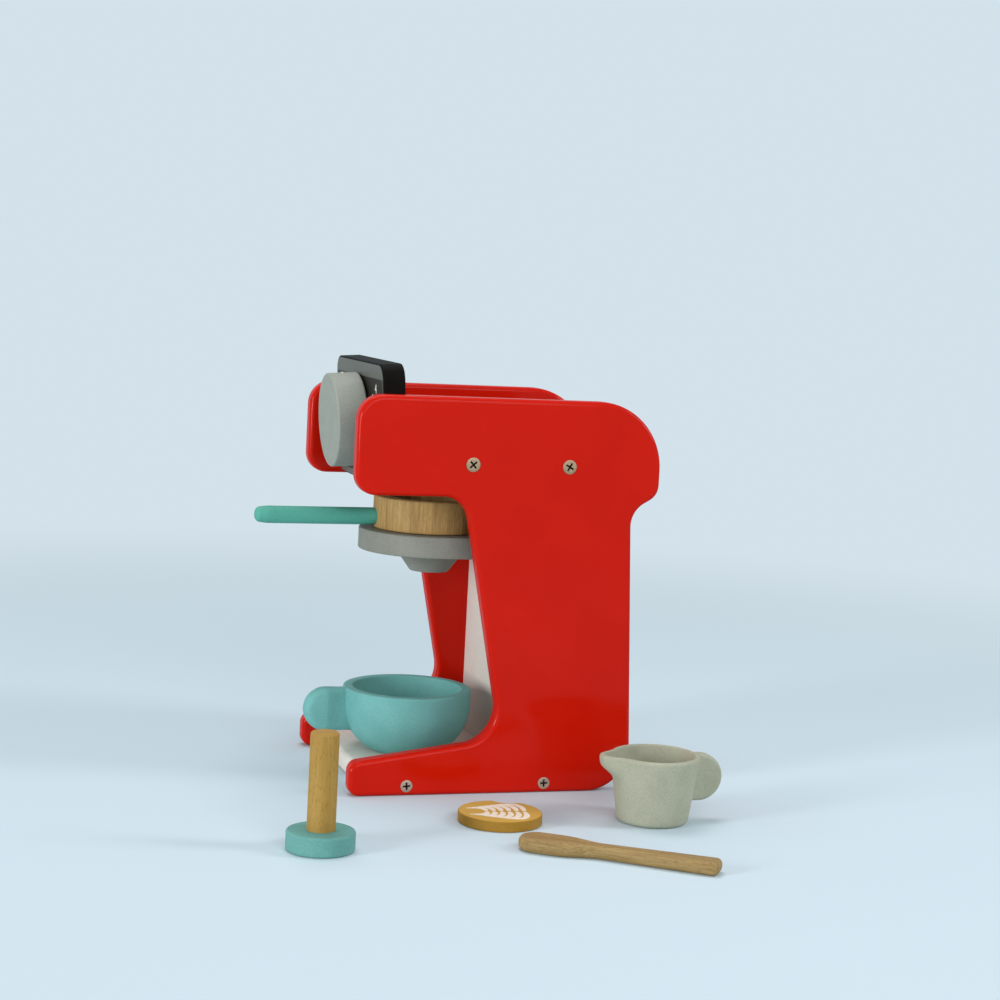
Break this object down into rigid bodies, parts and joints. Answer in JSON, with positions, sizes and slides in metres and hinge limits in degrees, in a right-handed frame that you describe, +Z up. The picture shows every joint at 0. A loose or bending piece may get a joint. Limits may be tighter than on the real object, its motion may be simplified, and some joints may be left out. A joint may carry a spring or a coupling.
{
  "type": "toy coffee maker",
  "caption": "Wooden toy espresso machine with a turning dial knob, a magnetic filter holder, and a cup, milk jug, tamper, stirrer and coffee-art disc.",
  "frame": {"origin": "on the floor at the machine's base board, midway between the side panels, in line with the foot of the column", "axes": "+Z up; the machine's front faces -Y; +X is the side of the right-hand panel and of the loose pieces"},
  "size_m": [0.3438, 0.2784, 0.2684],
  "materials": {
    "red_lacquer": "gloss lacquer sprayed on board",
    "white_paint": "satin paint on board",
    "dial_paint": "matt black paint with a printed dial",
    "knob_paint": "satin grey paint on turned wood",
    "collar_paint": "satin grey paint on turned wood",
    "teal_paint": "satin paint on turned wood",
    "handle_paint": "satin paint on turned wood",
    "jug_paint": "satin paint on turned wood",
    "beech": "clear-oiled beech",
    "coffee_paint": "satin coffee-brown paint with a printed leaf",
    "zinc_steel": "zinc-plated, pressed cross heads",
    "nickel": "nickel-plated magnet",
    "felt": "pressed felt"
  },
  "bodies": {
    "machine": {"right_side_panel": "red_lacquer", "left_side_panel": "red_lacquer", "base_board": "white_paint", "back_board": "white_paint", "top_board": "white_paint", "dial_plate": "dial_paint", "right_head_screws": "zinc_steel", "right_foot_screws": "zinc_steel", "left_head_screws": "zinc_steel", "left_foot_screws": "zinc_steel", "back_board_dowels": "beech", "dial_plate_dowels": "beech", "knob_washer": "felt", "drip_collar": "collar_paint", "drip_collar_screws": "zinc_steel", "strike_washer": "zinc_steel", "strike_washer_screw": "zinc_steel"},
    "knob": {"control_knob": "knob_paint", "knob_axle": "beech", "axle_collar": "zinc_steel", "axle_collar_screw": "zinc_steel"},
    "filter_carriage": {"filter_magnet": "nickel"},
    "filter": {"filter_bowl": "beech", "filter_handle": "handle_paint"},
    "cup": {"cup_bowl": "teal_paint", "cup_handle": "teal_paint"},
    "jug": {"jug_body": "jug_paint", "jug_handle": "jug_paint"},
    "tamper": {"tamper_base": "teal_paint", "tamper_rod": "beech"},
    "coffee_disc": {"latte_disc": "coffee_paint"},
    "stirrer": {"stirrer": "beech"}
  },
  "joints": [
    {"name": "knob_turn", "type": "hinge", "parent": "machine", "child": "knob", "pos_m": [0, -0.0758, 0.2296], "axis": [0, -0.9976, -0.0698], "continuous": true},
    {"name": "filter_pull", "type": "slide", "parent": "machine", "child": "filter_carriage", "axis": [0, -1, 0], "range_m": [0, 0.13]},
    {"name": "filter_swivel", "type": "hinge", "parent": "filter_carriage", "child": "filter", "pos_m": [0, -0.0252, 0.1593], "axis": [0, 0, 1], "range_deg": [-60, 60]},
    {"name": "cup_pull", "type": "slide", "parent": "machine", "child": "cup", "axis": [0, -1, 0], "range_m": [0, 0.13]},
    {"name": "jug_lift", "type": "slide", "parent": "machine", "child": "jug", "axis": [0, 0, 1], "range_m": [0, 0.08]},
    {"name": "tamper_lift", "type": "slide", "parent": "machine", "child": "tamper", "axis": [0, 0, 1], "range_m": [0, 0.08]},
    {"name": "coffee_disc_lift", "type": "slide", "parent": "machine", "child": "coffee_disc", "axis": [0, 0, 1], "range_m": [0, 0.06]},
    {"name": "stirrer_lift", "type": "slide", "parent": "machine", "child": "stirrer", "axis": [0, 0, 1], "range_m": [0, 0.06]}
  ]
}
